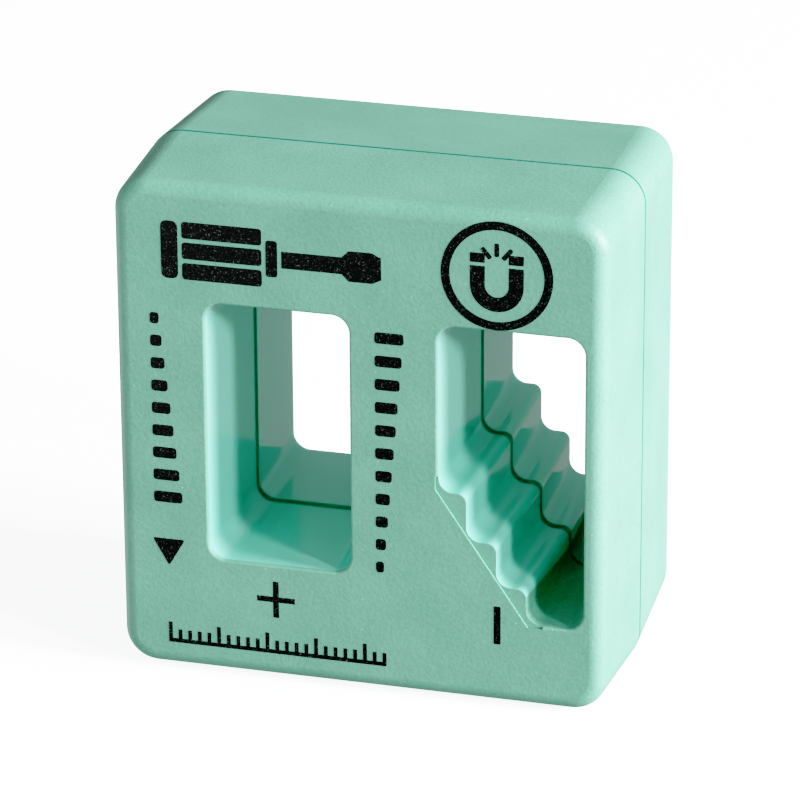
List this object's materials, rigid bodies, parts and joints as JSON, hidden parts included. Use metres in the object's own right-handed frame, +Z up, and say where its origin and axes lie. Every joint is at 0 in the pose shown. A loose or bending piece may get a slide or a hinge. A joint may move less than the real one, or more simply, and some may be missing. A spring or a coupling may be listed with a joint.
{
  "type": "tool magnetizer and demagnetizer block",
  "caption": "Small moulded block with one plain and one stepped through window; magnets inside magnetize a screwdriver tip in one window and demagnetize it on the steps of the other.",
  "frame": {"origin": "middle of the underside: centre of the outside in X and Y, lowest edge in Z", "axes": "+X to the right seen from the printed front, +Y to the rear, +Z up"},
  "size_m": [0.05, 0.029, 0.052],
  "materials": {
    "shell_plastic": "fine spark-eroded grain outside, smooth inside the windows",
    "ferrite": "ground sintered ferrite",
    "print_ink": "matt pad-printed black"
  },
  "bodies": {
    "root": {"front_shell": "shell_plastic", "rear_shell": "shell_plastic", "outer_magnet": "ferrite", "middle_magnet": "ferrite"}
  },
  "joints": []
}
